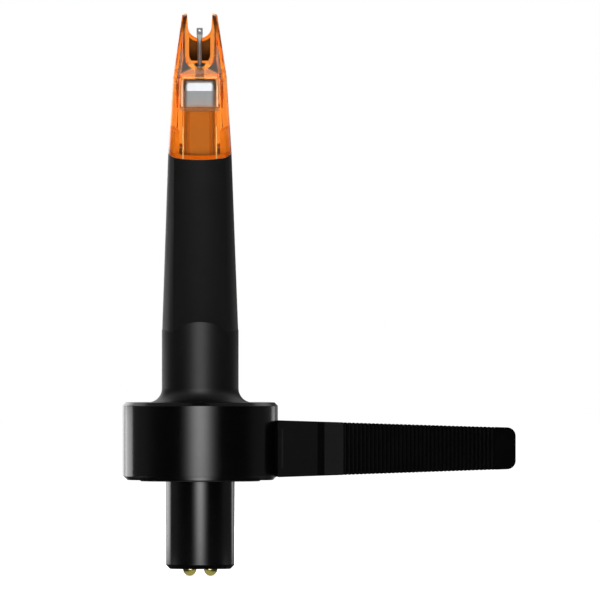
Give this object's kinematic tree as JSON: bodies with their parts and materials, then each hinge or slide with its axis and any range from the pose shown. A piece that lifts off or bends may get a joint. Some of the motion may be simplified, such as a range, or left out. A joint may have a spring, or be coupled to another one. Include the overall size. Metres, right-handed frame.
{
  "type": "turntable stylus cartridge",
  "caption": "Turntable cartridge with bayonet plug, collar, ribbed finger lift, drooping nose and a slide-off clear stylus with a sprung cantilever.",
  "frame": {"origin": "Middle of the collar's rear seating face, on the plug's axis", "axes": "+Z along the plug's axis towards the stylus, +X towards the finger lift, +Y away from the record"},
  "size_m": [0.0456, 0.0237, 0.065],
  "materials": {
    "black_satin": "satin black moulded plastic",
    "black_barrel": "semi-gloss black anodised barrel",
    "black_grip": "fine matte black moulded plastic",
    "insulator": "black insulating plastic",
    "rubber": "black rubber",
    "gold": "gold plated",
    "steel": "bright steel",
    "silver_can": "satin nickel plated sheet",
    "board": "resin board",
    "tinned": "tinned wire",
    "nylon": "natural nylon",
    "copper": "enamelled copper winding",
    "iron": "soft magnetic alloy",
    "clear_orange": "clear orange polycarbonate",
    "aluminium": "drawn aluminium tube",
    "brass": "turned brass",
    "magnet": "nickel plated magnet",
    "diamond": "ground diamond",
    "wire_white": "white insulation",
    "wire_red": "red insulation",
    "wire_green": "green insulation",
    "wire_blue": "blue insulation"
  },
  "bodies": {
    "body": {"housing": "black_satin", "connector_plug": "black_barrel", "locating_pin": "steel", "contact_carrier": "insulator", "seal_washer": "rubber", "finger_lift": "black_grip", "shield_can": "silver_can", "terminal_plate": "board", "coil_former": "nylon", "contact_pin_1": "gold", "terminal_pin_1": "tinned", "coil_1": "copper", "pole_pin_1": "iron", "contact_pin_2": "gold", "terminal_pin_2": "tinned", "coil_2": "copper", "pole_pin_2": "iron", "contact_pin_3": "gold", "terminal_pin_3": "tinned", "coil_3": "copper", "pole_pin_3": "iron", "contact_pin_4": "gold", "terminal_pin_4": "tinned", "coil_4": "copper", "pole_pin_4": "iron", "lead_wire_white": "wire_white", "lead_wire_red": "wire_red", "lead_wire_green": "wire_green", "lead_wire_blue": "wire_blue"},
    "stylus": {"stylus_holder": "clear_orange", "ferrule": "aluminium", "wire_anchor": "brass", "suspension_wire": "steel"},
    "suspension": {"damper": "rubber"},
    "cantilever": {"cantilever": "aluminium", "magnet": "magnet", "diamond_tip": "diamond"}
  },
  "joints": [
    {"name": "stylus_pull", "type": "slide", "parent": "body", "child": "stylus", "axis": [0, -0.342, 0.9397], "range_m": [0, 0.012]},
    {"name": "cantilever_sideways", "type": "hinge", "parent": "stylus", "child": "suspension", "pos_m": [0, -0.01183, 0.0464], "axis": [0, 0.9397, 0.342], "range_deg": [-3, 3], "stiffness_Nm_per_rad": 0.00225},
    {"name": "cantilever_lift", "type": "hinge", "parent": "suspension", "child": "cantilever", "pos_m": [0, -0.01183, 0.0464], "axis": [1, 0, 0], "range_deg": [-3, 3], "stiffness_Nm_per_rad": 0.00225}
  ]
}
